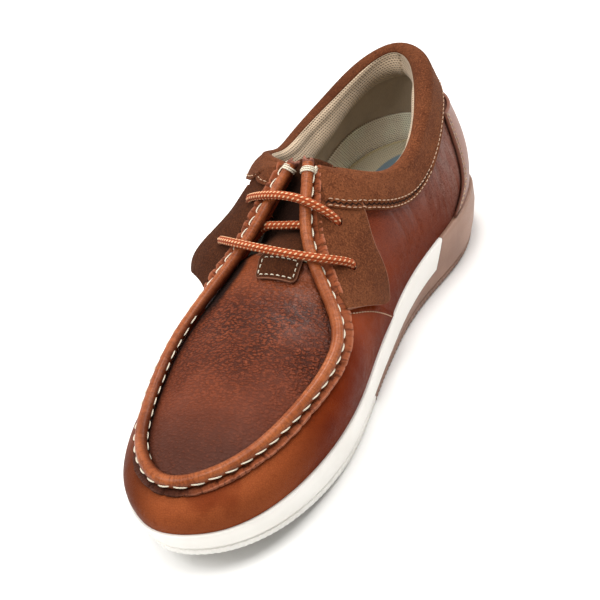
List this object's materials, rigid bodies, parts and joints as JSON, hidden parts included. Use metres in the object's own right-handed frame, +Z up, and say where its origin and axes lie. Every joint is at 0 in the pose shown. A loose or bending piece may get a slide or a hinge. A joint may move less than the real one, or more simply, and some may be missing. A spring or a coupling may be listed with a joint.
{
  "type": "lace-up moccasin shoe",
  "caption": "Right men's lace-up moccasin-toe shoe: leather upper with a raised apron seam, suede collar, facing flaps and tongue, braided lace, wedge sole.",
  "frame": {"origin": "bottom centre of the whole shoe's box, on the floor plane under the sole", "axes": "+X from the heel towards the toe, +Y towards the inner (medial) side, +Z up"},
  "size_m": [0.302, 0.1073, 0.1016],
  "materials": {
    "taupe_rubber": "matte taupe rubber",
    "off_white_rubber": "satin off-white rubber",
    "lining": "woven grey-beige",
    "leather": "burnished cognac, semi-gloss, pebbled",
    "piping": "tan, semi-gloss",
    "suede": "dark brown suede nap",
    "cord": "rust braid with cream flecks"
  },
  "bodies": {
    "root": {"outsole": "taupe_rubber", "midsole": "off_white_rubber", "insole": "lining", "upper": "leather", "moc_seam": "piping", "collar": "suede", "wing_medial": "suede", "wing_lateral": "suede", "heel_counter": "leather", "tongue": "suede", "lace": "cord"}
  },
  "joints": []
}
